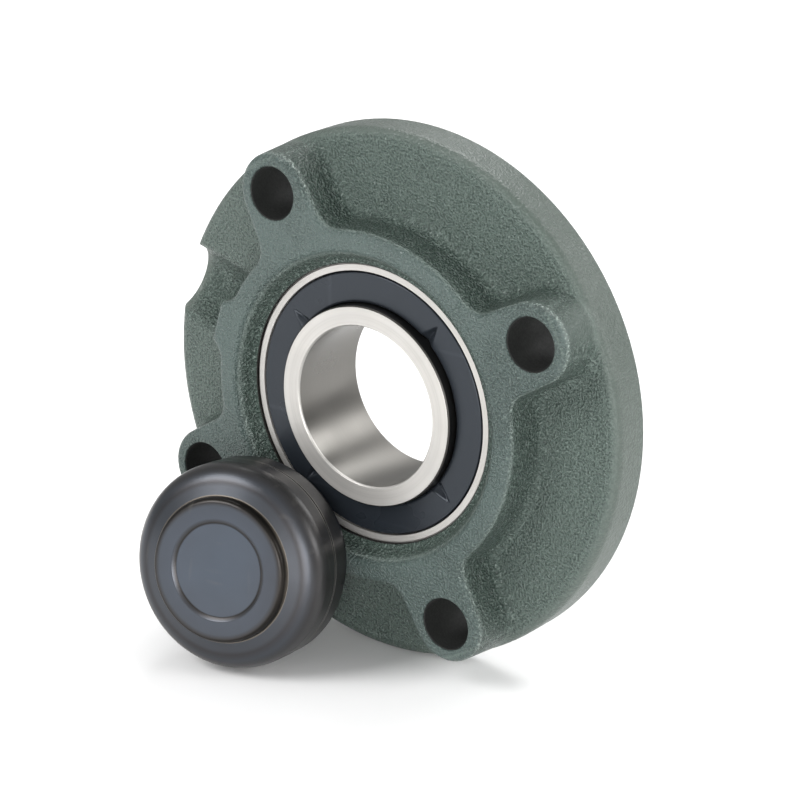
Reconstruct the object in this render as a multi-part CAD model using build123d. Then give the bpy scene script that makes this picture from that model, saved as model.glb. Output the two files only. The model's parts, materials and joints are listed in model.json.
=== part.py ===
# Round flanged bearing unit: a cast four-bolt housing, the self-aligning ball bearing it
# carries, and its pressed end cover, taken off and leaning against it. Millimetres.
#
# Each piece is drawn with the bore axis along Z, the mounting face at z = 0 and the front
# towards +Z. At the end the unit is stood on its rim: the front then faces -Y and +Z is up.

from math import cos, hypot, radians, sin, sqrt, tan
import os

from build123d import *

# Flange
flange_r = 82.5
flange_thickness = 14.0
rim_round = 3.0
rim_back_chamfer = 0.8
stand_roll = 17.16

# Hub and bolt bosses
hub_height = 28.0
hub_wall = 10.93
draft = 4.7
hub_edge_round = 2.0
root_round = 4.0
inner_corner_round = 6.0
boss_count = 4
boss_first_angle = 45.0
bolt_edge_distance = 13.5
bolt_hole_r = 8.0
boss_wall_margin = 0.1
boss_flare = 3.4
bolt_hole_chamfer = 0.5

# The hub's face steps down in a soft ring to a narrow lip round the mouth
lip_above_ring = 0.7
lip_width = 1.5
lip_rise = 0.2
step_width = 3.4
step_foot_round = 1.8
step_edge_round = 1.6

# Pilot spigot behind the mounting face
spigot_beyond_hub = 0.6
spigot_length = 12.0
spigot_chamfer = 1.2

# Grease channel in the flange, and the pad and fitting at its inner end
channel_r = 11.5
channel_floor = 4.2
channel_lip_round = 3.2
pad_reach = 3.5
pad_half_width = 8.6
pad_corner_round = 3.0
fitting_height = 14.6
spotface_r = 5.6
spotface_depth = 2.6
grease_drill_r = 1.6
fitting_thread_r = 3.0
fitting_thread_length = 5.0
fitting_hex_flats = 7.0
fitting_hex_height = 2.2
fitting_cone_height = 0.9
fitting_neck_r = 2.2
fitting_neck_height = 0.8
fitting_head_r = 2.9
fitting_head_height = 1.6
fitting_hole_r = 0.9

# Bearing insert
sphere_r = 45.0
centre_height = 10.0
outer_half_width = 12.0
outer_chamfer = 0.45
outer_wall = 3.62
ring_face_width = 2.27
seal_groove_depth = 0.5
seal_groove_width = 1.9
seal_groove_back = 1.8
outer_shoulder = 2.78
grease_groove_offset = 6.2
grease_groove_width = 2.4
grease_groove_depth = 0.7
feed_hole_r = 0.9
feed_hole_count = 2

ball_count = 10
ball_r = 6.35
ball_clearance = 0.03
race_conformity = 1.04

inner_shoulder = 2.53
inner_front_proud = 3.3
inner_back_proud = 3.5
inner_wall = 6.15
bore_taper = 12.0
bore_front_chamfer = 0.35
bore_back_chamfer = 0.9
inner_edge_chamfer = 0.5

# Cage
cage_thickness = 0.8
cage_pocket_clearance = 0.22
cage_inner_gap = 2.05
cage_outer_gap = 1.7
rivet_r = 0.8
rivet_head_r = 1.45
rivet_head_height = 0.7
rivet_clearance = 0.02

# Seals and the flingers outside them
seal_inset = 0.1
seal_lip_clearance = 0.15
seal_lip_width = 1.2
seal_thickness = 1.5
flinger_proud = 0.1
flinger_thickness = 1.2
flinger_land_gap = 0.6
flinger_collar_length = 3.2
flinger_bore_gap = 0.02
flinger_bend_round = 1.1
flinger_rim_round = 0.35
stake_count = 4
stake_first_angle = 67.0
stake_length = 7.0
stake_depth = 1.0
stake_half_width = 2.0

# Pin that keeps the outer ring from turning in the housing
pin_r = 2.0
pin_sink = 1.6
pin_proud = 1.5
pin_clearance = 0.08

# Fit of the sphere in the housing, and the slots at the back that let the insert in
sphere_clearance = 0.05
mouth_clearance = 0.1
load_slot_clearance = 0.3
tilt_limit = 2.0

# End cover: its side's radius, then widths going in and lengths going back from the front
cover_side_r = 31.7
cover_shoulder_width = 5.7
cover_face_width = 3.6
cover_plateau_slope = 0.7
cover_plateau_round = 1.5
cover_plateau_width = 6.2
cover_dish_wall = 1.1
cover_dish_depth = 0.7
cover_plateau_depth = 2.7
cover_face_drop = 1.0
cover_shoulder_length = 6.4
cover_shoulder_sag = 1.4
cover_side_length = 6.1
cover_bead_width = 1.0
cover_bead_sink = 0.7
cover_lip_inset = 0.2
cover_lip_length = 7.0
cover_skirt_inset = 2.0
cover_skirt_length = 4.9
cover_wall = 1.2
cover_slit_half_width = 0.8
cover_slit_length = 1.6
cover_slit_angles = (116.0, 236.0, 356.0)

# How the loose cover stands: turned and leaning back against the housing
cover_turn = 12.14
cover_lean = 10.14
cover_side_shift = 27.4
cover_touch_gap = 0.2
cover_start_gap = 8.0
cover_slides = 8

# Places worked out from the sizes above
boss_step = 360.0 / boss_count
fitting_angle = boss_first_angle + 1.5 * boss_step
pin_angle = fitting_angle + 180.0
slot_angle = fitting_angle + 90.0
ball_step = 360.0 / ball_count

ring_edge_r = sqrt(sphere_r**2 - outer_half_width**2)
outer_race_r = sphere_r - outer_wall
outer_shoulder_r = outer_race_r - outer_shoulder
pitch_r = outer_race_r - ball_clearance - ball_r
race_r = ball_r * race_conformity
inner_race_r = pitch_r - ball_r - ball_clearance
inner_r = inner_race_r + inner_shoulder
bore_front_r = inner_r - inner_wall
cage_inner_r = inner_r + cage_inner_gap
cage_outer_r = outer_shoulder_r - cage_outer_gap
inner_front = outer_half_width + inner_front_proud
inner_back = outer_half_width + inner_back_proud

seal_land_r = ring_edge_r - ring_face_width
seal_groove_r = seal_land_r + seal_groove_depth
seal_groove_end = outer_half_width - seal_groove_back
seal_groove_start = seal_groove_end - seal_groove_width
collar_r = inner_r + flinger_thickness
flinger_r = seal_land_r - flinger_land_gap
flinger_face = outer_half_width + flinger_proud
flinger_collar_start = flinger_face - flinger_collar_length

mouth_r = ring_edge_r + mouth_clearance
mouth_height = centre_height + outer_half_width + lip_above_ring
seat_r = sphere_r + sphere_clearance
pin_travel = sphere_r * sin(radians(tilt_limit))
bolt_circle_r = flange_r - bolt_edge_distance
boss_root = flange_thickness - rim_round
boss_root_r = bolt_edge_distance - boss_wall_margin
hub_top_r = mouth_r + hub_wall
hub_root_r = hub_top_r + (hub_height - boss_root) * tan(radians(draft))
spigot_r = hub_top_r + spigot_beyond_hub
fitting_seat_r = hub_root_r + pad_reach - spotface_depth

cover_face_r = cover_side_r - cover_shoulder_width
cover_plateau_base_r = cover_face_r - cover_face_width
cover_plateau_r = cover_plateau_base_r - cover_plateau_slope
cover_dish_r = cover_plateau_r - cover_plateau_width - cover_dish_wall
cover_lip_r = cover_side_r - cover_lip_inset
cover_skirt_r = cover_lip_r - cover_skirt_inset
cover_face_depth = cover_plateau_depth + cover_face_drop
cover_shoulder_depth = cover_face_depth + cover_shoulder_length
cover_bead_depth = cover_shoulder_depth + cover_side_length
cover_lip_depth = cover_bead_depth + cover_lip_length
cover_skirt_depth = cover_lip_depth + cover_skirt_length


def spun(points, start=0.0):
    """A turned body from (radius, height) points, set off along the axis by start."""
    outline = Polyline(*[(r, start + z) for r, z in points], close=True)
    return revolve(Plane.XZ * make_face(outline), Axis.Z)


def around(angle, radius=0.0, height=0.0):
    """A place on the unit: outward is local X, the bore axis stays local Z."""
    return Rot(0, 0, angle) * Pos(radius, 0, height)


def radial_rod(radius, inner, outer, angle, height):
    """A round rod along a radius of the unit, from inner to outer distance."""
    rod = Cylinder(radius, outer - inner, align=(Align.CENTER, Align.CENTER, Align.MIN))
    return around(angle, inner, height) * Rot(0, 90, 0) * rod


def boss_outline():
    """Round end about the bolt hole, with sides that flare a little towards the hub."""
    flare = radians(boss_flare)
    tip = Vector(bolt_circle_r + boss_root_r * sin(flare), boss_root_r * cos(flare))
    root = Vector(mouth_r, tip.Y + (tip.X - mouth_r) * tan(flare))
    sides = Polyline((root.X, -root.Y), (tip.X, -tip.Y), (tip.X, tip.Y), (root.X, root.Y), close=True)
    return make_face(sides) + Pos(bolt_circle_r, 0) * Circle(boss_root_r)


def raised_casting():
    """Hub, bolt bosses and grease pad above the flange, drafted and rounded."""
    pad_length = 2 * (hub_root_r + pad_reach - mouth_r)
    pad = RectangleRounded(pad_length, 2 * pad_half_width, pad_corner_round)
    outline = Circle(hub_root_r) + around(fitting_angle, mouth_r) * pad
    for number in range(boss_count):
        outline += Rot(0, 0, boss_first_angle + number * boss_step) * boss_outline()
    grown = offset(outline, inner_corner_round, kind=Kind.ARC)
    outline = offset(grown, -inner_corner_round, kind=Kind.ARC)
    raised = extrude(Pos(0, 0, boss_root) * outline, hub_height - boss_root, taper=draft)
    return fillet(raised.faces().sort_by(Axis.Z)[-1].outer_wire().edges(), hub_edge_round)


def flange_body():
    flange = Cylinder(flange_r, flange_thickness, align=(Align.CENTER, Align.CENTER, Align.MIN))
    flange = fillet(flange.edges().sort_by(Axis.Z)[-1], rim_round)
    return chamfer(flange.edges().sort_by(Axis.Z)[0], rim_back_chamfer)


def root_edges(casting):
    """Where the raised casting meets the flat of the flange."""
    found = []
    for edge in casting.edges():
        box = edge.bounding_box()
        middle = edge.position_at(0.5)
        flat = box.min.Z > flange_thickness - 0.01 and box.max.Z < flange_thickness + 0.01
        if flat and hypot(middle.X, middle.Y) < flange_r - rim_round - 0.05:
            found.append(edge)
    return found


def grease_channel():
    """The groove that lets a grease gun reach the fitting from the side."""
    top = flange_thickness + hub_height
    middle = channel_floor + channel_r
    lip = channel_lip_round
    low = flange_thickness - lip
    wide = sqrt((channel_r + lip) ** 2 - (middle - low) ** 2)
    above = flange_thickness + 1
    fan = Polyline((0, middle), (wide, low), (wide, above), (-wide, above), (-wide, low), close=True)
    mouth = make_face(fan)
    for side in (-1, 1):
        mouth -= Pos(side * wide, low) * Circle(lip)
    groove = Pos(0, middle) * Circle(channel_r)
    groove += Pos(0, (middle + top) / 2) * Rectangle(2 * channel_r, top - middle)
    groove += mouth
    start = hub_root_r + pad_reach
    return around(fitting_angle, start) * extrude(Plane.YZ * groove, 1.4 * flange_r - start)


def seat_cut():
    """The sphere the insert turns in, its front mouth and its open back."""
    ball = Pos(0, 0, centre_height) * Sphere(seat_r)
    back = -spigot_length - 1
    room = 2 * hub_height + spigot_length
    bore = Pos(0, 0, back) * Cylinder(mouth_r, room, align=(Align.CENTER, Align.CENTER, Align.MIN))
    band = Cylinder(seat_r, 2 * outer_half_width)
    return (ball & Pos(0, 0, centre_height) * band) + bore


def load_slots():
    """Two slots at the back, as wide as the insert, that let it in edge on."""
    width = 2 * (outer_half_width + load_slot_clearance)
    depth = centre_height + spigot_length + 1
    block = Box(2.2 * seat_r, width, depth, align=(Align.CENTER, Align.CENTER, Align.MIN))
    round_bar = Cylinder(seat_r, depth, align=(Align.CENTER, Align.CENTER, Align.MIN))
    return Rot(0, 0, slot_angle) * Pos(0, 0, -spigot_length - 1) * (block & round_bar)


def pin_slot():
    """The slot that the insert's pin slides along as the insert tilts, open to the back."""
    reach = pin_r + pin_travel + 2 * pin_clearance
    half_width = pin_r + pin_clearance
    deep = seat_r + pin_proud + 2 * pin_clearance
    start = mouth_r - 3
    back = spigot_length + 1 + centre_height
    slot = Box(
        deep - start, 2 * half_width, back + reach,
        align=(Align.MIN, Align.CENTER, Align.MIN),
    )
    return around(pin_angle, start, -spigot_length - 1) * slot


def face_step():
    """The soft ring where the hub's face steps down to the lip round the mouth."""
    foot = (mouth_r + lip_width, mouth_height + lip_rise)
    edge = (foot[0] + step_width, hub_height)
    above = hub_height + 1
    outline = Polyline(
        (0, mouth_height),
        (mouth_r, mouth_height),
        foot,
        edge,
        (edge[0] + step_edge_round, hub_height),
        (edge[0] + step_edge_round, above),
        (0, above),
        close=True,
    )
    section = make_face(outline)
    for corner, rounding in ((foot, step_foot_round), (edge, step_edge_round)):
        section = fillet(section.vertices().sort_by_distance((*corner, 0))[0], rounding)
    return revolve(Plane.XZ * section, Axis.Z)


def grease_drilling():
    """Spot face, thread hole and drilling from the pad through to the sphere."""
    outside = fitting_seat_r + spotface_depth + 6
    spot = radial_rod(spotface_r, fitting_seat_r, outside, fitting_angle, fitting_height)
    thread_end = fitting_seat_r - fitting_thread_length - 1.0
    thread = radial_rod(fitting_thread_r, thread_end, outside, fitting_angle, fitting_height)
    drill = radial_rod(grease_drill_r, mouth_r - 2, outside, fitting_angle, fitting_height)
    return spot + thread + drill


def housing():
    casting = flange_body() + raised_casting()
    casting = fillet(root_edges(casting), root_round)
    spigot = Cylinder(spigot_r, spigot_length, align=(Align.CENTER, Align.CENTER, Align.MAX))
    spigot = chamfer(spigot.edges().sort_by(Axis.Z)[0], spigot_chamfer)
    casting = casting + spigot
    casting = casting - grease_channel() - face_step()
    casting = casting - seat_cut() - load_slots() - pin_slot() - grease_drilling()
    hole = Cylinder(bolt_hole_r, 4 * hub_height)
    rim = Pos(0, 0, hub_height) * Cone(
        bolt_hole_r, bolt_hole_r + 2 * bolt_hole_chamfer, 2 * bolt_hole_chamfer
    )
    for number in range(boss_count):
        casting -= around(boss_first_angle + number * boss_step, bolt_circle_r) * (hole + rim)
    return casting


def race_circle(radius_at_bottom, outward):
    """The ball groove's section, touching its bottom radius from the ball's side."""
    side = -1 if outward else 1
    return Plane.XZ * Pos(radius_at_bottom + side * race_r, centre_height) * Circle(race_r)


def outer_ring():
    half = outer_half_width
    band = Pos(0, 0, centre_height) * (Sphere(sphere_r) & Cylinder(sphere_r, 2 * half))
    rims = band.edges().filter_by(GeomType.CIRCLE)
    band = chamfer([rims.sort_by(Axis.Z)[0], rims.sort_by(Axis.Z)[-1]], outer_chamfer)
    core = spun(
        [
            (0, -half - 1),
            (seal_land_r, -half - 1),
            (seal_land_r, -seal_groove_end),
            (seal_groove_r, -seal_groove_end),
            (seal_groove_r, -seal_groove_start),
            (outer_shoulder_r, -seal_groove_start),
            (outer_shoulder_r, seal_groove_start),
            (seal_groove_r, seal_groove_start),
            (seal_groove_r, seal_groove_end),
            (seal_land_r, seal_groove_end),
            (seal_land_r, half + 1),
            (0, half + 1),
        ],
        centre_height,
    )
    ring = band - core - revolve(race_circle(outer_race_r, True), Axis.Z)
    groove_r = sqrt(sphere_r**2 - grease_groove_offset**2)
    grease = Pos(0, 0, centre_height + grease_groove_offset) * (
        Cylinder(groove_r + 3, grease_groove_width)
        - Cylinder(groove_r - grease_groove_depth, grease_groove_width)
    )
    ring -= grease
    for number in range(feed_hole_count):
        angle = fitting_angle + number * 360.0 / feed_hole_count
        height = centre_height + grease_groove_offset
        ring -= radial_rod(feed_hole_r, outer_shoulder_r - 1, sphere_r + 1, angle, height)
    ring -= radial_rod(
        pin_r + pin_clearance, sphere_r - pin_sink - pin_clearance, sphere_r + 1, pin_angle, centre_height
    )
    return ring


def inner_ring():
    """Taper bored for the shaft, widest at the back."""
    length = inner_front + inner_back
    back_r = bore_front_r + length / bore_taper / 2
    body = spun(
        [
            (back_r + bore_back_chamfer, 0),
            (inner_r - inner_edge_chamfer, 0),
            (inner_r, inner_edge_chamfer),
            (inner_r, length - inner_edge_chamfer),
            (inner_r - inner_edge_chamfer, length),
            (bore_front_r + bore_front_chamfer, length),
            (bore_front_r + bore_front_chamfer / bore_taper / 2, length - bore_front_chamfer),
            (back_r - bore_back_chamfer / bore_taper / 2, bore_back_chamfer),
        ],
        centre_height - inner_back,
    )
    return body - revolve(race_circle(inner_race_r, False), Axis.Z)


def ball(number):
    return around(number * ball_step, pitch_r, centre_height) * Sphere(ball_r)


def cage_half():
    """A pressed ribbon: flats between the balls and a rounded pocket over each."""
    inside = ball_r + cage_pocket_clearance
    outside = inside + cage_thickness
    base = (Align.CENTER, Align.CENTER, Align.MIN)
    sleeve = Cylinder(cage_outer_r, outside, align=base) - Cylinder(cage_inner_r, outside, align=base)
    flat = Cylinder(cage_outer_r, cage_thickness, align=base)
    ribbon = flat - Cylinder(cage_inner_r, cage_thickness, align=base)
    for number in range(ball_count):
        ribbon += sleeve & (around(number * ball_step, pitch_r) * Sphere(outside))
    for number in range(ball_count):
        ribbon -= around(number * ball_step, pitch_r) * Sphere(inside)
        ribbon -= around((number + 0.5) * ball_step, pitch_r) * Cylinder(
            rivet_r + rivet_clearance, 4 * cage_thickness
        )
    return ribbon


def cage_rivets():
    """One rivet through each pair of flats, headed on both sides."""
    top = cage_thickness + rivet_head_height
    rivet = spun(
        [
            (0, -top),
            (rivet_head_r * 0.6, -top),
            (rivet_head_r, -cage_thickness - 0.3 * rivet_head_height),
            (rivet_head_r, -cage_thickness),
            (rivet_r, -cage_thickness),
            (rivet_r, cage_thickness),
            (rivet_head_r, cage_thickness),
            (rivet_head_r, cage_thickness + 0.3 * rivet_head_height),
            (rivet_head_r * 0.6, top),
            (0, top),
        ]
    )
    places = [around((number + 0.5) * ball_step, pitch_r, centre_height) for number in range(ball_count)]
    return Compound(children=[place * rivet for place in places])


def seal():
    """Rubber ring held in the outer ring, its lip close round the flinger's collar."""
    low = seal_groove_start + seal_inset
    high = low + seal_thickness
    lip_r = collar_r + seal_lip_clearance
    return spun(
        [
            (lip_r, low + seal_thickness * 0.35),
            (lip_r + seal_lip_width, low),
            (seal_groove_r - seal_inset, low),
            (seal_groove_r - seal_inset, high),
            (seal_land_r - 2 * seal_inset, high),
            (seal_land_r - 1.2, high - seal_thickness * 0.3),
            (lip_r + 2 * seal_lip_width, high - seal_thickness * 0.3),
            (lip_r + seal_lip_width, high),
            (lip_r, high),
        ]
    )


def stake_tool():
    """A wedge that is deepest at the inner edge and runs out towards the rim."""
    start = inner_r + 0.3 * flinger_thickness
    top = flinger_face + 0.05 * flinger_thickness
    mouth = Polyline(
        (-stake_half_width, top), (0, top - stake_depth), (stake_half_width, top), close=True
    )
    return loft([Pos(start, 0, 0) * Plane.YZ * make_face(mouth), Vertex(start + stake_length, 0, top)])


def flinger():
    """Pressed steel ring on the inner ring, staked in four places."""
    back = flinger_face - flinger_thickness
    ring = spun(
        [
            (inner_r + flinger_bore_gap, flinger_collar_start),
            (collar_r, flinger_collar_start),
            (collar_r, back),
            (flinger_r, back),
            (flinger_r, flinger_face),
            (inner_r + flinger_bore_gap, flinger_face),
        ]
    )
    edges = ring.edges().group_by(Axis.Z)[-1].sort_by(SortBy.RADIUS)
    ring = fillet(edges[0], flinger_bend_round)
    edges = ring.edges().group_by(Axis.Z)[-1].sort_by(SortBy.RADIUS)
    ring = fillet(edges[-1], flinger_rim_round)
    for number in range(stake_count):
        turn = Rot(0, 0, stake_first_angle + number * 360.0 / stake_count)
        ring -= turn * stake_tool()
    return ring


def locating_pin():
    length = pin_sink + pin_proud
    pin = radial_rod(pin_r, sphere_r - pin_sink, sphere_r - pin_sink + length, pin_angle, centre_height)
    return chamfer(pin.edges().filter_by(GeomType.CIRCLE), 0.3)


def grease_fitting():
    """Hexagon, cone, neck and rounded head, screwed into the pad."""
    hexagon = extrude(
        RegularPolygon(fitting_hex_flats / 2, 6, major_radius=False), fitting_hex_height
    )
    stem = fitting_hex_height + fitting_cone_height
    tip = stem + fitting_neck_height
    turned = spun(
        [
            (0, -fitting_thread_length),
            (fitting_thread_r - 0.4, -fitting_thread_length),
            (fitting_thread_r, -fitting_thread_length + 0.4),
            (fitting_thread_r, 0),
            (fitting_head_r, fitting_hex_height),
            (fitting_neck_r, stem),
            (fitting_neck_r, stem + fitting_neck_height * 0.4),
            (fitting_head_r, tip),
            (fitting_head_r, tip + fitting_head_height * 0.4),
            (fitting_head_r * 0.45, tip + fitting_head_height),
            (0, tip + fitting_head_height),
        ]
    )
    body = hexagon + turned
    body -= Pos(0, 0, tip) * Cylinder(fitting_hole_r, 3 * fitting_head_height)
    body = around(fitting_angle, fitting_seat_r, fitting_height) * Rot(0, 90, 0) * body
    return body


def cover_form():
    """The pressed cover as if it were solid, its plateau's front at zero."""
    bead = cover_bead_width / 2
    shoulder_start = (cover_face_r, -cover_face_depth)
    shoulder_end = (cover_side_r, -cover_shoulder_depth)
    front = Polyline(
        (0, -cover_skirt_depth),
        (0, -cover_dish_depth),
        (cover_dish_r, -cover_dish_depth),
        (cover_dish_r + cover_dish_wall, 0),
        (cover_plateau_r, 0),
        (cover_plateau_base_r, -cover_plateau_depth),
        shoulder_start,
    )
    shoulder = SagittaArc(shoulder_start, shoulder_end, cover_shoulder_sag)
    side = Polyline(
        shoulder_end,
        (cover_side_r, -cover_bead_depth + bead),
        (cover_side_r - cover_bead_sink, -cover_bead_depth),
        (cover_lip_r, -cover_bead_depth - bead),
        (cover_lip_r, -cover_lip_depth),
        (cover_skirt_r, -cover_lip_depth),
        (cover_skirt_r, -cover_skirt_depth),
        (0, -cover_skirt_depth),
    )
    section = make_face(front + shoulder + side)
    corner = section.vertices().sort_by_distance((cover_plateau_r, 0, 0))[0]
    return revolve(Plane.XZ * fillet(corner, cover_plateau_round), Axis.Z)


def end_cover():
    form = cover_form()
    cover = offset(form, -cover_wall, openings=form.faces().sort_by(Axis.Z)[0])
    slit = Box(4 * cover_wall, 2 * cover_slit_half_width, 2 * cover_slit_length)
    for angle in cover_slit_angles:
        cover -= around(angle, cover_lip_r + cover_wall, -cover_lip_depth) * slit
    return cover


def lean_cover(cover, casting):
    """Turn it, lean it back, set it on the floor, and slide it back to the housing."""
    posed = Rot(0, cover_turn, 0) * Rot(-cover_lean, 0, 0) * cover
    low = posed.bounding_box()
    forward = hub_height + cover_start_gap - low.min.Z
    placed = Pos(-cover_side_shift, -flange_r - low.min.Y, forward) * posed
    for slide in range(cover_slides):
        placed = Pos(0, 0, cover_touch_gap - placed.distance_to(casting)) * placed
    return placed


def save(name, shape):
    """Stand a piece up with its front towards -Y, and write its file."""
    shape = Rot(90, 0, 0) * shape
    shape.label = name
    export_step(shape, f"parts/{name}.step")


os.makedirs("parts", exist_ok=True)
rolled = Rot(0, 0, -stand_roll)
in_insert = rolled * Pos(0, 0, centre_height)
turned_back = in_insert * Rot(180, 0, 0)

casting = rolled * housing()
save("housing", casting)
save("grease_fitting", rolled * grease_fitting())
save("locating_pin", rolled * locating_pin())
save("outer_ring", rolled * outer_ring())
save("inner_ring", rolled * inner_ring())
for number in range(ball_count):
    save(f"ball_{number + 1:02d}", rolled * ball(number))
half_cage = cage_half()
save("cage_front", in_insert * half_cage)
save("cage_rear", turned_back * half_cage)
save("cage_rivets", rolled * cage_rivets())
side_seal = seal()
save("seal_front", in_insert * side_seal)
save("seal_rear", turned_back * side_seal)
side_flinger = flinger()
save("flinger_front", in_insert * side_flinger)
save("flinger_rear", turned_back * side_flinger)
save("end_cover", lean_cover(end_cover(), casting))
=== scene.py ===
import json
from math import cos, pi, radians, sin, tan

import bmesh
import bpy
from mathutils import Matrix, Vector


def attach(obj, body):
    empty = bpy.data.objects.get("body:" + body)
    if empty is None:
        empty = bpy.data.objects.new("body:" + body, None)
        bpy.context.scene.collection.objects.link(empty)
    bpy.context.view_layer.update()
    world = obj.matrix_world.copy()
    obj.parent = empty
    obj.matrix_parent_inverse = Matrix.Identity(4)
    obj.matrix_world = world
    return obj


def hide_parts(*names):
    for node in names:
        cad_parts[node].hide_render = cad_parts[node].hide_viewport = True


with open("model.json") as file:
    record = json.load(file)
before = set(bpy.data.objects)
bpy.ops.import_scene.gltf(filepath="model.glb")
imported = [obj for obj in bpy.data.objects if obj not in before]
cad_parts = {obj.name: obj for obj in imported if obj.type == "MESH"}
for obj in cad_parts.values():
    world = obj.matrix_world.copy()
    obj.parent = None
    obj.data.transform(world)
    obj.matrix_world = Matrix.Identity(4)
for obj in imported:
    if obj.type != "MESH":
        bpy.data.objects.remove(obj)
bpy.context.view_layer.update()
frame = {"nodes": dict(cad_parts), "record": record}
mm = 0.001

# How the unit stands: front towards -Y, turned about its bore axis
unit = {"roll": -17.16, "centreHeight": 10.0, "floor": -82.5}
frontFacing = Matrix.Rotation(radians(90), 4, "X")
rolled = frontFacing @ Matrix.Rotation(radians(unit["roll"]), 4, "Z")
print("stage: frame loaded,", len(frame["nodes"]), "nodes")


# Small helpers for node trees
def addNode(tree, kind, **settings):
    node = tree.nodes.new(kind)
    for name, value in settings.items():
        if hasattr(node, name):
            setattr(node, name, value)
        else:
            node.inputs[name.replace("_", " ")].default_value = value
    return node


def link(tree, source, target):
    tree.links.new(source, target)


def mathNode(tree, operation, first, second=None, clamp=False):
    node = tree.nodes.new("ShaderNodeMath")
    node.operation = operation
    node.use_clamp = clamp
    for socket, value in zip(node.inputs, (first, second)):
        if value is None:
            continue
        if hasattr(value, "links"):
            tree.links.new(value, socket)
        else:
            socket.default_value = value
    return node.outputs[0]


def mixColour(tree, factor, first, second):
    node = tree.nodes.new("ShaderNodeMix")
    node.data_type = "RGBA"
    sockets = (node.inputs["Factor"], node.inputs[6], node.inputs[7])
    for socket, value in zip(sockets, (factor, first, second)):
        if hasattr(value, "links"):
            tree.links.new(value, socket)
        elif isinstance(value, (int, float)):
            socket.default_value = value
        else:
            socket.default_value = (*value, 1.0)
    return node.outputs[2]


def spread(tree, value, low, high, outLow=0.0, outHigh=1.0):
    node = tree.nodes.new("ShaderNodeMapRange")
    names = ("From Min", "From Max", "To Min", "To Max")
    for name, number in zip(names, (low, high, outLow, outHigh)):
        node.inputs[name].default_value = number
    tree.links.new(value, node.inputs["Value"])
    return node.outputs["Result"]


def times(tree, first, second):
    return mathNode(tree, "MULTIPLY", first, second)


# One outside the mask and the given share inside it
def scaledBy(tree, mask, share):
    return spread(tree, mask, 0.0, 1.0, 1.0, share)


# How far a value is from a middle, without its sign
def distanceFrom(tree, value, middle):
    return mathNode(tree, "ABSOLUTE", mathNode(tree, "SUBTRACT", value, middle))


def pairLength(tree, first, second):
    squares = [mathNode(tree, "POWER", value, 2.0) for value in (first, second)]
    return mathNode(tree, "SQRT", mathNode(tree, "ADD", *squares))


def newGroup(name, inputs, outputs):
    group = bpy.data.node_groups.new(name, "ShaderNodeTree")
    for label, kind, value in inputs:
        socket = group.interface.new_socket(label, in_out="INPUT", socket_type=kind)
        if value is not None:
            socket.default_value = value
    for label, kind in outputs:
        group.interface.new_socket(label, in_out="OUTPUT", socket_type=kind)
    return group, group.nodes.new("NodeGroupInput"), group.nodes.new("NodeGroupOutput")


def useGroup(tree, group, **values):
    node = tree.nodes.new("ShaderNodeGroup")
    node.node_tree = group
    for name, value in values.items():
        socket = node.inputs[name]
        if hasattr(value, "links"):
            tree.links.new(value, socket)
        else:
            socket.default_value = value
    return node


# Pebbled as-cast skin under enamel: bumps of two sizes; flecks on their tops and pits carry painted
# highlight and painted shade
grainLook = {
    "grainDetail": 1.2, "lumpDetail": 1.5, "roughness": 0.5, "pebble": (0.32, 0.68),
    "pebbleShare": 0.55, "lumpShare": 0.6, "fleck": (0.54, 0.66), "pit": (0.46, 0.35),
}


def makeCastSkin():
    group, given, result = newGroup(
        "castSkin",
        [
            ("Vector", "NodeSocketVector", None),
            ("Grain", "NodeSocketFloat", 900.0),
            ("Lumps", "NodeSocketFloat", 260.0),
        ],
        [("Height", "NodeSocketFloat"), ("Fleck", "NodeSocketFloat"), ("Pit", "NodeSocketFloat")],
    )
    look = grainLook
    noises = []
    for label, detail in (("Grain", look["grainDetail"]), ("Lumps", look["lumpDetail"])):
        noise = addNode(
            group, "ShaderNodeTexNoise", noise_dimensions="3D",
            Detail=detail, Roughness=look["roughness"],
        )
        link(group, given.outputs["Vector"], noise.inputs["Vector"])
        link(group, given.outputs[label], noise.inputs["Scale"])
        noises.append(noise.outputs["Fac"])
    grain, lumps = noises
    pebbles = times(group, spread(group, grain, *look["pebble"]), look["pebbleShare"])
    height = mathNode(group, "ADD", pebbles, times(group, lumps, look["lumpShare"]))
    link(group, height, result.inputs["Height"])
    link(group, spread(group, grain, *look["fleck"]), result.inputs["Fleck"])
    link(group, spread(group, grain, *look["pit"]), result.inputs["Pit"])
    return group


# Turning marks: fine rings about the bore axis, weaker in some patches than in others
turnedLook = {"noiseDetail": 2.0, "patches": (0.3, 0.7, 0.4, 1.0)}


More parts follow.
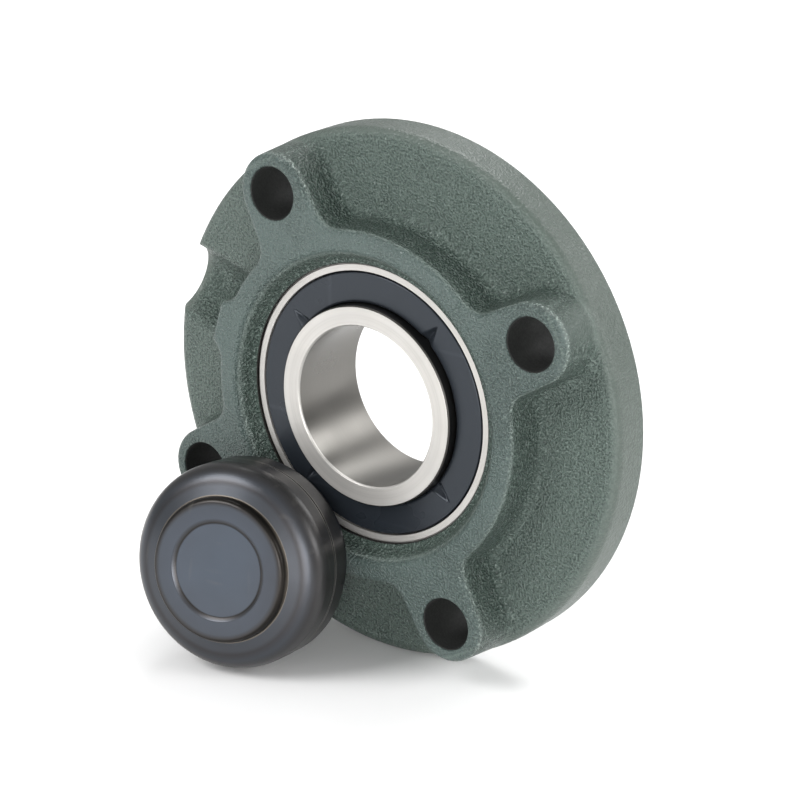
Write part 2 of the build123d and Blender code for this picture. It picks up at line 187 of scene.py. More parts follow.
def makeTurnedRings():
    detail = turnedLook["noiseDetail"]
    group, given, result = newGroup(
        "turnedRings",
        [
            ("Vector", "NodeSocketVector", None),
            ("Pitch", "NodeSocketFloat", 2600.0),
            ("Break", "NodeSocketFloat", 40.0),
        ],
        [("Height", "NodeSocketFloat"), ("Radius", "NodeSocketFloat")],
    )
    parts = addNode(group, "ShaderNodeSeparateXYZ")
    link(group, given.outputs["Vector"], parts.inputs[0])
    flat = addNode(group, "ShaderNodeCombineXYZ")
    link(group, parts.outputs["X"], flat.inputs["X"])
    link(group, parts.outputs["Z"], flat.inputs["Y"])
    radius = addNode(group, "ShaderNodeVectorMath", operation="LENGTH")
    link(group, flat.outputs[0], radius.inputs[0])
    along = addNode(group, "ShaderNodeCombineXYZ")
    link(group, radius.outputs["Value"], along.inputs["X"])
    link(group, parts.outputs["Y"], along.inputs["Y"])
    fine = addNode(group, "ShaderNodeTexNoise", noise_dimensions="2D", Detail=detail)
    link(group, along.outputs[0], fine.inputs["Vector"])
    link(group, given.outputs["Pitch"], fine.inputs["Scale"])
    patch = addNode(group, "ShaderNodeTexNoise", noise_dimensions="3D", Detail=detail)
    link(group, given.outputs["Vector"], patch.inputs["Vector"])
    link(group, given.outputs["Break"], patch.inputs["Scale"])
    strength = spread(group, patch.outputs["Fac"], *turnedLook["patches"])
    height = times(group, fine.outputs["Fac"], strength)
    link(group, height, result.inputs["Height"])
    link(group, radius.outputs["Value"], result.inputs["Radius"])
    return group


# Handling marks: long thin scratches in two directions and faint smears
markLook = {
    "directions": ((0.35, (3.0, 3.0, 0.12)), (-0.9, (0.10, 3.0, 3.0))),
    "scratch": (0.70, 0.76), "smearScale": 28.0, "smearRoughness": 0.6, "smear": (0.35, 0.7),
}


def makeHandling():
    group, given, result = newGroup(
        "handlingMarks",
        [("Vector", "NodeSocketVector", None), ("Density", "NodeSocketFloat", 60.0)],
        [("Scratch", "NodeSocketFloat"), ("Smear", "NodeSocketFloat")],
    )
    look = markLook
    total = None
    for turn, stretch in look["directions"]:
        place = addNode(group, "ShaderNodeMapping")
        place.inputs["Rotation"].default_value = (turn, 0.4 * turn, turn)
        place.inputs["Scale"].default_value = stretch
        link(group, given.outputs["Vector"], place.inputs["Vector"])
        noise = addNode(group, "ShaderNodeTexNoise", noise_dimensions="3D", Detail=1.0)
        link(group, place.outputs[0], noise.inputs["Vector"])
        link(group, given.outputs["Density"], noise.inputs["Scale"])
        line = spread(group, noise.outputs["Fac"], *look["scratch"])
        total = line if total is None else mathNode(group, "MAXIMUM", total, line)
    link(group, total, result.inputs["Scratch"])
    smear = addNode(
        group, "ShaderNodeTexNoise", noise_dimensions="3D",
        Scale=look["smearScale"], Detail=3.0, Roughness=look["smearRoughness"],
    )
    link(group, given.outputs["Vector"], smear.inputs["Vector"])
    link(group, spread(group, smear.outputs["Fac"], *look["smear"]), result.inputs["Smear"])
    return group


castSkin = makeCastSkin()
turnedRings = makeTurnedRings()
handlingMarks = makeHandling()


def newMaterial(name):
    material = bpy.data.materials.new(name)
    material.use_nodes = True
    tree = material.node_tree
    shader = tree.nodes["Principled BSDF"]
    place = tree.nodes.new("ShaderNodeTexCoord")
    return material, tree, shader, place.outputs["Object"]


def setGrit(tree, shader, place, scale, detail, strength, distance):
    grit = addNode(tree, "ShaderNodeTexNoise", Scale=scale, Detail=detail)
    link(tree, place, grit.inputs["Vector"])
    setBump(tree, shader, grit.outputs["Fac"], strength, distance)


def setBump(tree, shader, height, strength, distance):
    bump = tree.nodes.new("ShaderNodeBump")
    bump.inputs["Strength"].default_value = strength
    bump.inputs["Distance"].default_value = distance
    tree.links.new(height, bump.inputs["Height"])
    tree.links.new(bump.outputs["Normal"], shader.inputs["Normal"])


# Grey-green enamel over the casting, with a turned back, bare drilled bolt holes and a bare bored
# mouth, both darkened as painted shade, painted shade on the walls and painted highlights and
# glints on the edges.
# Heights are from the mounting face towards the front, radii from the bore axis.
enamel = {
    "base": (0.066, 0.094, 0.080),
    "highlightTone": (0.135, 0.175, 0.155),
    "pitShadeTone": (0.018, 0.030, 0.025),
    "shadedWall": (0.034, 0.056, 0.045),
    "hub": (0.059, 0.086, 0.079),
    "rim": (0.068, 0.088, 0.075),
    "smear": (0.080, 0.100, 0.094),
    "paintedGlint": (0.38, 0.44, 0.41),
    "machined": (0.078, 0.098, 0.088),
    "shadedBareIron": (0.010, 0.011, 0.010),
    "shadedBoreSteel": (0.045, 0.044, 0.042),
    "grainScale": 1500.0,
    "lumpScale": 520.0,
    "markDensity": 50.0,
    "bumpDepth": 0.0011,
    "rimRadius": 0.0795,
    "rimFade": 0.0018,
    "lipRadius": 0.0788,
    "lipWidth": 0.0007,
    "lipHeights": (0.008, 0.011),
    "holeCircle": 0.069,
    "holeRadius": 0.00815,
    "holeFade": 0.0001,
    "mouthRadius": 0.04356,
    "mouthFade": 0.00004,
    "floorHeight": 0.0125,
    "floorFade": 0.004,
    "hubHeight": 0.0262,
    "hubFade": (0.0012, 0.0008),
    "backHeights": (0.0006, 0.0001),
    # Painted highlight bands: height, half width, share and tone
    "highlightBands": (
        (0.0142, 0.0016, 0.35, (0.135, 0.175, 0.155)),
        (0.0265, 0.0009, 0.60, (0.165, 0.205, 0.185)),
    ),
    "patches": (0.15, 0.75),
    "amounts": {
        "shadedWall": 0.8, "lip": 0.5, "pit": 0.7, "fleck": 0.8, "smear": 0.12, "paintedGlint": 0.8,
    },
    # What is left of the grain's colour and of its relief on the calmer parts
    "grainLeft": {"rim": 0.22, "hub": 0.8, "machined": 0.25, "settled": 0.35},
    "reliefLeft": {"machined": 0.06, "settled": 0.45},
    "turnedRelief": 0.05,
    "sheen": (0.2, 0.9, 0.46, 0.30),
    "holeDuller": 0.3,
}


# Distance from the axis of the nearest of the four bolt holes
def nearHole(tree, place):
    turn = addNode(tree, "ShaderNodeVectorRotate", rotation_type="Y_AXIS")
    turn.inputs["Angle"].default_value = radians(45.0 + unit["roll"])
    link(tree, place, turn.inputs["Vector"])
    parts = addNode(tree, "ShaderNodeSeparateXYZ")
    link(tree, turn.outputs[0], parts.inputs[0])
    across = mathNode(tree, "ABSOLUTE", parts.outputs["X"])
    upright = mathNode(tree, "ABSOLUTE", parts.outputs["Z"])
    outward = mathNode(tree, "MAXIMUM", across, upright)
    outward = mathNode(tree, "SUBTRACT", outward, enamel["holeCircle"])
    sideways = mathNode(tree, "MINIMUM", across, upright)
    return pairLength(tree, outward, sideways)


def makeEnamel():
    material, tree, shader, place = newMaterial("enamelledCasting")
    look, amount = enamel, enamel["amounts"]
    grainLeft, reliefLeft = enamel["grainLeft"], enamel["reliefLeft"]
    skin = useGroup(tree, castSkin, Vector=place, Grain=look["grainScale"], Lumps=look["lumpScale"])
    rings = useGroup(tree, turnedRings, Vector=place)
    marks = useGroup(tree, handlingMarks, Vector=place, Density=look["markDensity"])
    radius, smear = rings.outputs["Radius"], marks.outputs["Smear"]
    fleck, pit = skin.outputs["Fleck"], skin.outputs["Pit"]
    parts = addNode(tree, "ShaderNodeSeparateXYZ")
    link(tree, place, parts.inputs[0])
    height = times(tree, parts.outputs["Y"], -1.0)

    # Where things are
    rim = spread(tree, radius, look["rimRadius"], look["rimRadius"] + look["rimFade"])
    holeEdge = look["holeRadius"] + look["holeFade"]
    hole = spread(tree, nearHole(tree, place), holeEdge, look["holeRadius"])
    mouth = spread(tree, radius, look["mouthRadius"] + look["mouthFade"], look["mouthRadius"])
    below, above = look["hubFade"]
    top = spread(tree, height, look["hubHeight"] - below, look["hubHeight"] + above)
    climb = spread(tree, height, look["floorHeight"], look["floorHeight"] + look["floorFade"])
    shadedWall = times(tree, climb, mathNode(tree, "SUBTRACT", 1.0, top))
    lip = spread(tree, distanceFrom(tree, radius, look["lipRadius"]), look["lipWidth"], 0.0)
    lip = times(tree, lip, spread(tree, height, *look["lipHeights"]))
    machined = spread(tree, height, *look["backHeights"])
    patchy = spread(tree, smear, *look["patches"])
    settled = times(tree, top, mathNode(tree, "SUBTRACT", 1.0, patchy))
    calm = scaledBy(tree, rim, grainLeft["rim"])

    # Paint tones, then painted shade and highlights, grain with painted highlight and shade,
    # smears, painted glints and shaded bare metal over them
    colour = mixColour(tree, rim, look["base"], look["rim"])
    colour = mixColour(tree, top, colour, look["hub"])
    # Painted shade on the walls of the hub and bosses, between the floor and the hub top
    colour = mixColour(tree, times(tree, shadedWall, amount["shadedWall"]), colour, look["shadedWall"])
    # Painted highlight bands at the foot fillet and along the hub's top edge
    for middle, half, share, tone in look["highlightBands"]:
        away = mathNode(tree, "DIVIDE", distanceFrom(tree, height, middle), half)
        bandHighlight = mathNode(tree, "SUBTRACT", 1.0, away, clamp=True)
        colour = mixColour(tree, times(tree, bandHighlight, share), colour, tone)
    # Painted highlight along the rim's inner lip
    colour = mixColour(tree, times(tree, lip, amount["lip"]), colour, look["highlightTone"])
    colour = mixColour(tree, machined, colour, look["machined"])
    grain = times(tree, calm, scaledBy(tree, top, grainLeft["hub"]))
    grain = times(tree, grain, scaledBy(tree, machined, grainLeft["machined"]))
    grain = times(tree, grain, scaledBy(tree, settled, grainLeft["settled"]))
    # Painted shade in the pits and painted highlight on the bump tops of the pebbling
    pitShade = times(tree, pit, times(tree, grain, amount["pit"]))
    colour = mixColour(tree, pitShade, colour, look["pitShadeTone"])
    fleckHighlight = times(tree, fleck, times(tree, grain, amount["fleck"]))
    colour = mixColour(tree, fleckHighlight, colour, look["highlightTone"])
    colour = mixColour(tree, times(tree, smear, amount["smear"]), colour, look["smear"])
    # Painted glints: bright specks on the grain flecks along the hub's top edge, in patches
    paintedGlint = times(tree, fleck, times(tree, bandHighlight, patchy))
    colour = mixColour(tree, times(tree, paintedGlint, amount["paintedGlint"]), colour, look["paintedGlint"])
    # Bolt holes: bare drilled iron darkened to near black, painted shade inside the holes
    colour = mixColour(tree, hole, colour, look["shadedBareIron"])
    # Bored mouth: bare steel, darkened as painted shade between the housing's mouth and the outer
    # ring
    colour = mixColour(tree, mouth, colour, look["shadedBoreSteel"])
    link(tree, colour, shader.inputs["Base Color"])

    rough = spread(tree, skin.outputs["Height"], *look["sheen"])
    rough = mathNode(tree, "ADD", rough, times(tree, hole, look["holeDuller"]))
    link(tree, rough, shader.inputs["Roughness"])
    link(tree, mouth, shader.inputs["Metallic"])

    cast = mathNode(tree, "SUBTRACT", 1.0, mathNode(tree, "MAXIMUM", hole, mouth))
    cast = times(tree, cast, scaledBy(tree, machined, reliefLeft["machined"]))
    cast = times(tree, cast, scaledBy(tree, settled, reliefLeft["settled"]))
    relief = times(tree, times(tree, skin.outputs["Height"], calm), cast)
    turned = times(tree, rings.outputs["Height"], times(tree, machined, look["turnedRelief"]))
    setBump(tree, shader, mathNode(tree, "ADD", relief, turned), 1.0, look["bumpDepth"])
    return material


# Bare steels; the ground one has painted shade in its bore behind the front edge and on its outer
# side by the flinger
steelLook = {
    "markDensity": 90.0, "dark": 0.80, "ringRange": (0.2, 0.7), "smear": 0.12,
    "smearTone": (0.42, 0.38, 0.31), "roughRange": (0.85, 1.2), "bump": 0.5,
}

shadedGroundBore = {
    "radius": 0.0266, "radiusFade": 0.0004, "front": -0.0246, "frontFade": 0.0003,
    "colour": (0.150, 0.145, 0.134), "amount": 0.92, "duller": -0.07,
    "sideRadius": 0.03105, "sideWidth": 0.0003, "sideShade": (0.06, 0.058, 0.055),
}


def makeSteel(name, colour, roughness, pitch, depth, bore=None, metallic=1.0):
    material, tree, shader, place = newMaterial(name)
    look = steelLook
    rings = useGroup(tree, turnedRings, Vector=place, Pitch=pitch)
    marks = useGroup(tree, handlingMarks, Vector=place, Density=look["markDensity"])
    radius, smear = rings.outputs["Radius"], marks.outputs["Smear"]
    darker = tuple(look["dark"] * part for part in colour)
    streaks = spread(tree, rings.outputs["Height"], *look["ringRange"])
    tone = mixColour(tree, streaks, darker, colour)
    tone = mixColour(tree, times(tree, smear, look["smear"]), tone, look["smearTone"])
    low, high = look["roughRange"]
    rough = spread(tree, smear, 0.0, 1.0, roughness * low, roughness * high)
    if bore:
        parts = addNode(tree, "ShaderNodeSeparateXYZ")
        link(tree, place, parts.inputs[0])
        within = spread(tree, radius, bore["radius"] + bore["radiusFade"], bore["radius"])
        front = bore["front"]
        behind = spread(tree, parts.outputs["Y"], front, front + bore["frontFade"])
        inside = times(tree, within, behind)
        shadedSide = mathNode(tree, "COMPARE", radius, bore["sideRadius"])
        shadedSide.node.inputs[2].default_value = bore["sideWidth"]
        # Painted shade: a darker, more metallic bore, and a dark band on the outer side by the
        # flinger
        tone = mixColour(tree, times(tree, inside, bore["amount"]), tone, bore["colour"])
        tone = mixColour(tree, shadedSide, tone, bore["sideShade"])
        rough = mathNode(tree, "ADD", rough, times(tree, inside, bore["duller"]))
        bared = mathNode(tree, "MAXIMUM", inside, shadedSide)
        link(tree, spread(tree, bared, 0.0, 1.0, metallic, 1.0), shader.inputs["Metallic"])
    link(tree, tone, shader.inputs["Base Color"])
    link(tree, rough, shader.inputs["Roughness"])
    shader.inputs["Metallic"].default_value = metallic
    setBump(tree, shader, rings.outputs["Height"], look["bump"], depth)
    return material


# Dark coated pressing of the staked rings
darkPress = {
    "colour": (0.022, 0.027, 0.034), "worn": (0.10, 0.11, 0.13), "tint": (0.030, 0.036, 0.045),
    "roughness": 0.31, "roughRange": (0.85, 1.25), "metallic": 0.45,
    "markDensity": 75.0, "smear": 0.35, "scratch": 0.10,
}
pressedGrit = {"scale": 1900.0, "detail": 2.0, "strength": 0.25, "distance": 0.00006}


def makeDarkPress():
    material, tree, shader, place = newMaterial("flingerCoat")
    look = darkPress
    marks = useGroup(tree, handlingMarks, Vector=place, Density=look["markDensity"])
    smear, scratch = marks.outputs["Smear"], marks.outputs["Scratch"]
    tone = mixColour(tree, times(tree, smear, look["smear"]), look["colour"], look["tint"])
    tone = mixColour(tree, times(tree, scratch, look["scratch"]), tone, look["worn"])
    link(tree, tone, shader.inputs["Base Color"])
    low, high = (look["roughness"] * share for share in look["roughRange"])
    link(tree, spread(tree, smear, 0.0, 1.0, low, high), shader.inputs["Roughness"])
    shader.inputs["Metallic"].default_value = look["metallic"]
    setGrit(tree, shader, place, **pressedGrit)
    return material


# The pressed cover: its own axis, and its colour by the distance in mm from that axis: an oxide
# tone with painted shade and a painted highlight at its steps
cover = {
    "centre": (-0.0274, -0.062012, -0.047408),
    "axis": (0.20702, -0.96237, 0.17605),
    "reach": 0.032,
    "shadedTones": (
        (0.0, (0.088, 0.104, 0.130)), (13.9, (0.092, 0.107, 0.132)),
        (14.35, (0.026, 0.024, 0.023)), (14.8, (0.050, 0.050, 0.053)),
        (15.9, (0.086, 0.098, 0.120)), (19.6, (0.082, 0.093, 0.112)),
        (20.8, (0.050, 0.048, 0.048)), (21.3, (0.011, 0.010, 0.009)),
        (22.15, (0.011, 0.010, 0.009)), (22.4, (0.20, 0.175, 0.145)),
        (22.75, (0.068, 0.075, 0.087)), (25.2, (0.066, 0.072, 0.083)),
        (26.4, (0.048, 0.048, 0.052)), (28.4, (0.060, 0.066, 0.077)),
        (30.2, (0.050, 0.050, 0.052)), (31.4, (0.070, 0.070, 0.072)),
    ),
    "wander": 0.00035,
    "brown": (0.050, 0.040, 0.033),
    "bead": -0.0162,
    "beadInside": (0.00050, 0.00035),
    "beadEdge": (0.00045, 0.00115),
    "beadShadeTone": (0.006, 0.006, 0.006),
    "edgeTone": (0.24, 0.23, 0.21),
    "scratchTone": (0.20, 0.19, 0.17),
    "amounts": {"smear": 0.25, "edge": 0.7, "scratch": 0.10},
    "markDensity": 75.0,
    "roughness": 0.34,
    "roughRange": (0.85, 1.2),
    "metallic": 0.8,
}


def makeCoverCoat():
    material, tree, shader, place = newMaterial("coverCoat")
    look, amount = cover, cover["amounts"]
    away = addNode(tree, "ShaderNodeVectorMath", operation="SUBTRACT")
    link(tree, place, away.inputs[0])
    away.inputs[1].default_value = look["centre"]
    depth = addNode(tree, "ShaderNodeVectorMath", operation="DOT_PRODUCT")
    across = addNode(tree, "ShaderNodeVectorMath", operation="CROSS_PRODUCT")
    for node in (depth, across):
        link(tree, away.outputs["Vector"], node.inputs[0])
        node.inputs[1].default_value = look["axis"]
    radius = addNode(tree, "ShaderNodeVectorMath", operation="LENGTH")
    link(tree, across.outputs["Vector"], radius.inputs[0])
    marks = useGroup(tree, handlingMarks, Vector=place, Density=look["markDensity"])
    smear, scratch = marks.outputs["Smear"], marks.outputs["Scratch"]

    wander = times(tree, mathNode(tree, "SUBTRACT", smear, 0.5), look["wander"])
    # Tone by radius, with painted shade at the dish edge, on the plateau wall and on the shoulder,
    # and a painted highlight at the plateau's foot
    shadedTones = tree.nodes.new("ShaderNodeValToRGB")
    ramp = shadedTones.color_ramp
    while len(ramp.elements) < len(look["shadedTones"]):
        ramp.elements.new(1.0)
    for element, (distance, colour) in zip(ramp.elements, look["shadedTones"]):
        element.position = distance * mm / look["reach"]
        element.color = (*colour, 1.0)
    wandered = mathNode(tree, "ADD", radius.outputs["Value"], wander)
    link(tree, spread(tree, wandered, 0.0, look["reach"]), shadedTones.inputs[0])
    tone = mixColour(tree, times(tree, smear, amount["smear"]), shadedTones.outputs[0], look["brown"])

    # Painted shade in the bead's groove and a painted highlight on both edges of it
    fromBead = distanceFrom(tree, depth.outputs["Value"], look["bead"])
    ramped = mathNode(tree, "ABSOLUTE", spread(tree, fromBead, *look["beadEdge"], -1.0, 1.0))
    edge = mathNode(tree, "SUBTRACT", 1.0, ramped, clamp=True)
    tone = mixColour(tree, times(tree, edge, amount["edge"]), tone, look["edgeTone"])
    tone = mixColour(tree, spread(tree, fromBead, *look["beadInside"]), tone, look["beadShadeTone"])
    tone = mixColour(tree, times(tree, scratch, amount["scratch"]), tone, look["scratchTone"])
    link(tree, tone, shader.inputs["Base Color"])
    low, high = (look["roughness"] * share for share in look["roughRange"])
    link(tree, spread(tree, smear, 0.0, 1.0, low, high), shader.inputs["Roughness"])
    shader.inputs["Metallic"].default_value = look["metallic"]
    setGrit(tree, shader, place, **pressedGrit)
    return material


rubber = {
    "dark": (0.018, 0.018, 0.02), "pale": (0.035, 0.035, 0.037), "roughness": 0.62,
    "markDensity": 40.0,
    "grit": {"scale": 2200.0, "detail": 1.0, "strength": 0.3, "distance": 0.00005},
}


def makeRubber():
    material, tree, shader, place = newMaterial("sealRubber")
    marks = useGroup(tree, handlingMarks, Vector=place, Density=rubber["markDensity"])
    tone = mixColour(tree, marks.outputs["Smear"], rubber["dark"], rubber["pale"])
    link(tree, tone, shader.inputs["Base Color"])
    shader.inputs["Roughness"].default_value = rubber["roughness"]
    setGrit(tree, shader, place, **rubber["grit"])
    return material


# Slot, material, colour, roughness, pitch of the turning marks and their depth
steels = (
    ("bearing_steel", "polishedSteel", (0.80, 0.80, 0.81), 0.10, 1200.0, 0.000004),
    ("cage_steel", "pressedSteel", (0.52, 0.50, 0.47), 0.38, 900.0, 0.00002),
    ("rivet_steel", "rivetSteel", (0.58, 0.56, 0.52), 0.34, 900.0, 0.00002),
    ("plated_steel", "platedSteel", (0.20, 0.19, 0.15), 0.45, 1500.0, 0.00002),
)
ringSteel = ("groundSteel", (0.59, 0.575, 0.55), 0.40, 2600.0, 0.00001, shadedGroundBore, 0.62)

finishes = {slot: makeSteel(*values) for slot, *values in steels}
finishes["ring_steel"] = makeSteel(*ringSteel)
finishes["painted_casting"] = makeEnamel()
finishes["seal_rubber"] = makeRubber()
finishes["flinger_steel"] = makeDarkPress()
finishes["cover_steel"] = makeCoverCoat()


# Turned and pressed pieces: a profile swept round the bore axis by Geometry Nodes.
# The profile's corners are (radius, height, rounding) in mm; its points lie about a step apart.
sweepLook = {
    "step": 0.0004, "arcTurn": 11, "weld": 0.000002,
    "steepness": 2.4, "pressed": 0.0022, "leastWidth": 0.00001,
}


def turnedBy(point, angle):
    across = point.x * cos(angle) - point.y * sin(angle)
    upright = point.x * sin(angle) + point.y * cos(angle)
    return Vector((across, upright))


def filletProfile(corners):
    points = []
    count = len(corners)
    for index, (x, y, rounding) in enumerate(corners):
        here = Vector((x, y)) * mm
        if rounding <= 0:
            points.append(here)
            continue
        before = (Vector(corners[index - 1][:2]) * mm - here).normalized()
        after = (Vector(corners[(index + 1) % count][:2]) * mm - here).normalized()
        half = before.angle(after) / 2
        reach = rounding * mm / tan(half)
        centre = here + (before + after).normalized() * rounding * mm / sin(half)
        start = here + before * reach - centre
        end = here + after * reach - centre
        turn = start.angle_signed(end)
        steps = max(3, int(abs(turn) / radians(sweepLook["arcTurn"])))
        for number in range(steps + 1):
            points.append(centre + turnedBy(start, -turn * number / steps))
    divided = []
    for index, point in enumerate(points):
        following = points[(index + 1) % len(points)]
        pieces = max(1, int((following - point).length / sweepLook["step"]))
        divided += [point.lerp(following, number / pieces) for number in range(pieces)]
    return divided


def makeSpinTree():
    tree = bpy.data.node_groups.new("spunPiece", "GeometryNodeTree")
    tree.is_modifier = True
    wanted = (
        ("Geometry", "NodeSocketGeometry", None), ("Segments", "NodeSocketInt", 480),
        ("Stakes", "NodeSocketInt", 4), ("First Angle", "NodeSocketFloat", 0.0),
        ("Stake Start", "NodeSocketFloat", 0.031), ("Stake Length", "NodeSocketFloat", 0.007),
        ("Stake Depth", "NodeSocketFloat", 0.0), ("Stake Half Width", "NodeSocketFloat", 0.002),
        ("Face Height", "NodeSocketFloat", 0.0), ("Finish", "NodeSocketMaterial", None),
    )
    for label, kind, value in wanted:
        socket = tree.interface.new_socket(label, in_out="INPUT", socket_type=kind)
        if value is not None:
            socket.default_value = value
    tree.interface.new_socket("Geometry", in_out="OUTPUT", socket_type="NodeSocketGeometry")
    given, result = tree.nodes.new("NodeGroupInput"), tree.nodes.new("NodeGroupOutput")

    profile = tree.nodes.new("GeometryNodeMeshToCurve")
    link(tree, given.outputs["Geometry"], profile.inputs["Mesh"])
    guide = tree.nodes.new("GeometryNodeCurvePrimitiveCircle")
    guide.inputs["Radius"].default_value = 1.0
    link(tree, given.outputs["Segments"], guide.inputs["Resolution"])
    sweep = tree.nodes.new("GeometryNodeCurveToMesh")
    link(tree, guide.outputs["Curve"], sweep.inputs["Curve"])
    link(tree, profile.outputs["Curve"], sweep.inputs["Profile Curve"])
    weld = tree.nodes.new("GeometryNodeMergeByDistance")
    weld.inputs["Distance"].default_value = sweepLook["weld"]
    link(tree, sweep.outputs["Mesh"], weld.inputs["Geometry"])

    spot = tree.nodes.new("GeometryNodeInputPosition")
    parts = addNode(tree, "ShaderNodeSeparateXYZ")
    link(tree, spot.outputs[0], parts.inputs[0])
    x, y, z = parts.outputs
    radius = pairLength(tree, x, y)

    # How far aside of the nearest stake's line a point lies, and how wide the stake is there
    stepAngle = mathNode(tree, "DIVIDE", 2 * pi, given.outputs["Stakes"])
    halfStep = mathNode(tree, "DIVIDE", stepAngle, 2.0)
    angle = mathNode(tree, "ARCTAN2", y, x)
    angle = mathNode(tree, "SUBTRACT", angle, given.outputs["First Angle"])
    folded = mathNode(tree, "ADD", angle, halfStep)
    folded = mathNode(tree, "FLOORED_MODULO", folded, stepAngle)
    aside = mathNode(tree, "SINE", mathNode(tree, "SUBTRACT", folded, halfStep))
    aside = times(tree, radius, aside)
    along = mathNode(tree, "SUBTRACT", radius, given.outputs["Stake Start"])
    along = mathNode(tree, "DIVIDE", along, given.outputs["Stake Length"])
    fade = mathNode(tree, "SUBTRACT", 1.0, along, clamp=True)
    width = times(tree, fade, given.outputs["Stake Half Width"])
    width = mathNode(tree, "ADD", width, sweepLook["leastWidth"])
    wedge = mathNode(tree, "DIVIDE", mathNode(tree, "ABSOLUTE", aside), width)
    wedge = mathNode(tree, "SUBTRACT", 1.0, wedge, clamp=True)

    # Only the front of the ring is pressed in
    foot = mathNode(tree, "SUBTRACT", given.outputs["Face Height"], sweepLook["pressed"])
    front = mathNode(tree, "SUBTRACT", z, foot)
    front = mathNode(tree, "DIVIDE", front, sweepLook["pressed"], clamp=True)
    steep = mathNode(tree, "MULTIPLY", fade, sweepLook["steepness"], clamp=True)
    depth = times(tree, times(tree, steep, wedge), given.outputs["Stake Depth"])
    sink = times(tree, times(tree, depth, front), -1.0)
    shift = addNode(tree, "ShaderNodeCombineXYZ")
    link(tree, sink, shift.inputs["Z"])
    press = tree.nodes.new("GeometryNodeSetPosition")
    link(tree, weld.outputs["Geometry"], press.inputs["Geometry"])
    link(tree, shift.outputs[0], press.inputs["Offset"])

    smooth = tree.nodes.new("GeometryNodeSetShadeSmooth")
    link(tree, press.outputs["Geometry"], smooth.inputs["Geometry"])
    real = tree.nodes.new("GeometryNodeRealizeInstances")
    link(tree, smooth.outputs["Geometry"], real.inputs["Geometry"])
    coat = tree.nodes.new("GeometryNodeSetMaterial")
    link(tree, real.outputs["Geometry"], coat.inputs["Geometry"])
    link(tree, given.outputs["Finish"], coat.inputs["Material"])
    link(tree, coat.outputs["Geometry"], result.inputs["Geometry"])
    return tree


spinTree = makeSpinTree()
spinInputs = {
    item.name: item.identifier
    for item in spinTree.interface.items_tree
    if item.in_out == "INPUT"
}


# The guide circle has a radius of one metre, which the profile's points are moved back by
def spinPiece(name, corners, finish, placement, body, node, slot, **values):
    profile = filletProfile(corners)
    mesh = bpy.data.meshes.new(name + "Profile")
    count = len(profile)
    edges = [(index, (index + 1) % count) for index in range(count)]
    mesh.from_pydata([(point.x - 1.0, -point.y, 0.0) for point in profile], edges, [])
    guide = bpy.data.objects.new(name + "Profile", mesh)
    bpy.context.collection.objects.link(guide)
    modifier = guide.modifiers.new("spin", "NODES")
    modifier.node_group = spinTree
    modifier[spinInputs["Finish"]] = finish
    for label, value in values.items():
        modifier[spinInputs[label.replace("_", " ")]] = value
    bpy.context.view_layer.update()
    depsgraph = bpy.context.evaluated_depsgraph_get()
    evaluated = guide.evaluated_get(depsgraph)
    swept = bpy.data.meshes.new_from_object(evaluated, depsgraph=depsgraph)
    guide.modifiers.clear()
    bpy.data.objects.remove(guide)
    swept.name = name
    closed = bmesh.new()
    closed.from_mesh(swept)
    if closed.calc_volume(signed=True) < 0:
        bmesh.ops.reverse_faces(closed, faces=closed.faces)
        closed.to_mesh(swept)
    volume = round(closed.calc_volume() * 1e9)
    print("piece:", name, len(swept.polygons), "faces,", volume, "mm3")
    closed.free()
    swept.transform(placement)
    piece = bpy.data.objects.new(name, swept)
    bpy.context.collection.objects.link(piece)
    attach(piece, body)
    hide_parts(node)


# The dark ring between the bearing's rings, with four darts staked into its bore
flinger = {
    "bore": 31.17, "collar": 32.35, "collarStart": 8.9, "back": 10.9, "face": 12.1, "rim": 40.5,
    "bend": 1.1, "innerBend": 0.4, "rimRound": 0.35, "segments": 720,
    "stakes": 4, "firstAngle": 67.0, "stakeInset": 0.1,
    "stakeLength": 7.0, "stakeDepth": 1.6, "stakeHalfWidth": 2.7,
}


def makeFlingers():
    size = flinger
    corners = [
        (size["bore"], size["collarStart"], 0),
        (size["collar"], size["collarStart"], 0),
        (size["collar"], size["back"], size["innerBend"]),
        (size["rim"], size["back"], 0),
        (size["rim"], size["face"], size["rimRound"]),
        (size["bore"], size["face"], size["bend"]),
    ]
    centre = Matrix.Translation((0, 0, unit["centreHeight"] * mm))
    rings = (
        ("flingerFront", "flinger_front", Matrix.Identity(4)),
        ("flingerRear", "flinger_rear", Matrix.Rotation(pi, 4, "X")),
    )
    for name, node, turn in rings:
        spinPiece(
            name, corners, finishes["flinger_steel"], rolled @ centre @ turn,
            "inner_ring", node, "flinger_steel",
            Segments=size["segments"],
            Stakes=size["stakes"],
            First_Angle=radians(size["firstAngle"]),
            Stake_Start=(size["bore"] + size["stakeInset"]) * mm,
            Stake_Length=size["stakeLength"] * mm,
            Stake_Depth=size["stakeDepth"] * mm,
            Stake_Half_Width=size["stakeHalfWidth"] * mm,
            Face_Height=size["face"] * mm,
        )


slotOf = {entry["node"]: entry["material_slot"] for entry in frame["record"]["subparts"]}
for nodeName, node in frame["nodes"].items():
    for materialSlot in node.material_slots:
        materialSlot.material = finishes[slotOf[nodeName]]
print("stage: finishes made and placed")
makeFlingers()
print("stage: staked rings spun")

# Floor, surroundings and lights. The camera sees the surroundings as white; their light is weaker.
studio = {
    "floorSize": 6.0, "floorDrop": 0.0001, "floorColour": (0.92, 0.92, 0.92, 1), "floorRough": 0.9,
    "seen": 1.0, "horizon": 0.36, "overhead": 0.56, "climb": (-0.1, 0.8),
}
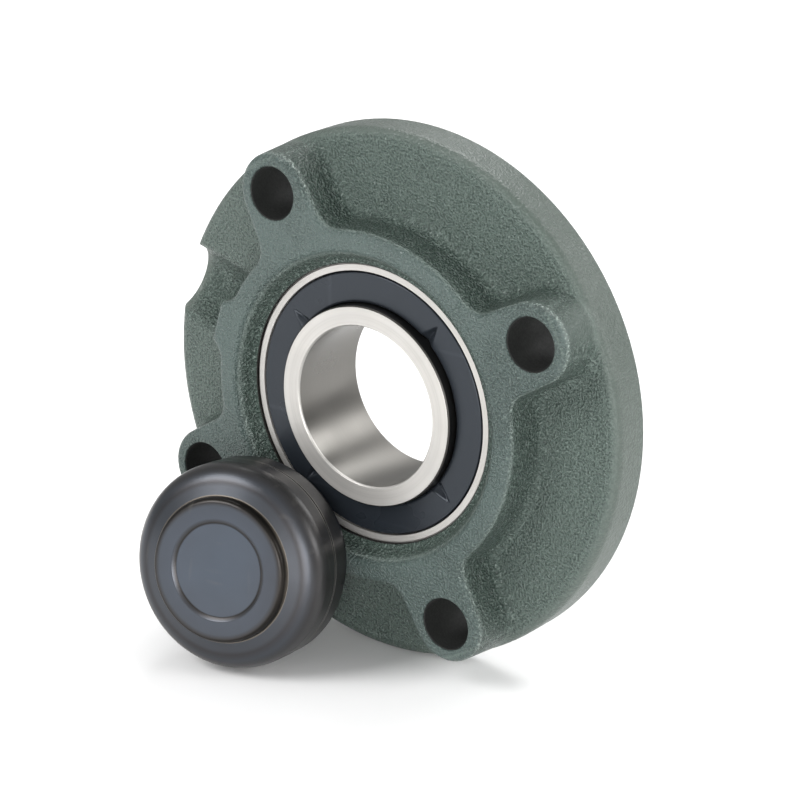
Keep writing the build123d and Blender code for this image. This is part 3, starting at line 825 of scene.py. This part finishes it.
# Name, place, what it points at, size in metres and power
lights = (
    ("keyLight", (-0.50, -0.95, 0.80), (0, 0, 0), 0.7, 11.5),
    ("sideLight", (1.05, 0.30, 0.45), (0, 0, 0), 0.6, 6.5),
    ("lowLight", (0.75, -1.05, 0.10), (0, 0, 0), 0.8, 13.0),
    ("backLight", (0.5, 0.9, 0.6), (0, 0, 0), 0.5, 3.0),
    ("floorLight", (-0.5, 1.1, 1.5), (-0.6, 0.8, -0.08), 1.2, 22.0),
)


def makeFloor():
    mesh = bpy.data.meshes.new("studioFloor")
    half = studio["floorSize"] / 2
    level = unit["floor"] * mm - studio["floorDrop"]
    flat = ((-half, -half), (half, -half), (half, half), (-half, half))
    corners = [(x, y, level) for x, y in flat]
    mesh.from_pydata(corners, [], [(0, 1, 2, 3)])
    floor = bpy.data.objects.new("studioFloor", mesh)
    bpy.context.collection.objects.link(floor)
    material, _, shader, _ = newMaterial("paleFloor")
    shader.inputs["Base Color"].default_value = studio["floorColour"]
    shader.inputs["Roughness"].default_value = studio["floorRough"]
    mesh.materials.append(material)


def makeWorld():
    world = bpy.data.worlds.new("studioWorld")
    world.use_nodes = True
    tree = world.node_tree
    background = tree.nodes["Background"]
    direction = tree.nodes.new("ShaderNodeTexCoord")
    parts = addNode(tree, "ShaderNodeSeparateXYZ")
    link(tree, direction.outputs["Generated"], parts.inputs[0])
    ends = (*studio["climb"], studio["horizon"], studio["overhead"])
    lift = spread(tree, parts.outputs["Z"], *ends)
    path = tree.nodes.new("ShaderNodeLightPath")
    seen = times(tree, path.outputs["Is Camera Ray"], studio["seen"])
    strength = mathNode(tree, "MAXIMUM", lift, seen)
    link(tree, strength, background.inputs["Strength"])
    background.inputs["Color"].default_value = (1.0, 1.0, 1.0, 1)
    bpy.context.scene.world = world


def makeLight(name, place, towards, size, power):
    data = bpy.data.lights.new(name, "AREA")
    data.shape = "DISK"
    data.size = size
    data.energy = power
    lamp = bpy.data.objects.new(name, data)
    lamp.location = place
    aim = Vector(towards) - Vector(place)
    lamp.rotation_euler = aim.to_track_quat("-Z", "Y").to_euler()
    bpy.context.collection.objects.link(lamp)


# The photograph's camera, found from the bolt holes, the rim and the bearing's circles
camera = {
    "place": (0.47547, -0.64117, 0.27491),
    "right": (0.79992, 0.60011, 0.0),
    "up": (-0.19846, 0.26454, 0.94373),
    "forward": (-0.56634, 0.75491, -0.33071),
    "lens": 124.72, "sensor": 36.0, "near": 0.05, "far": 20.0,
}


def makeCamera():
    data = bpy.data.cameras.new("photoCamera")
    data.lens = camera["lens"]
    data.sensor_width = camera["sensor"]
    data.clip_start = camera["near"]
    data.clip_end = camera["far"]
    eye = bpy.data.objects.new("photoCamera", data)
    right, up, forward = (Vector(camera[key]) for key in ("right", "up", "forward"))
    turn = Matrix((right, up, -forward)).transposed()
    eye.matrix_world = Matrix.Translation(camera["place"]) @ turn.to_4x4()
    bpy.context.collection.objects.link(eye)
    bpy.context.scene.camera = eye


makeFloor()
makeWorld()
for light in lights:
    makeLight(*light)
makeCamera()
bpy.context.scene.view_settings.view_transform = "Standard"
print("stage: studio ready")
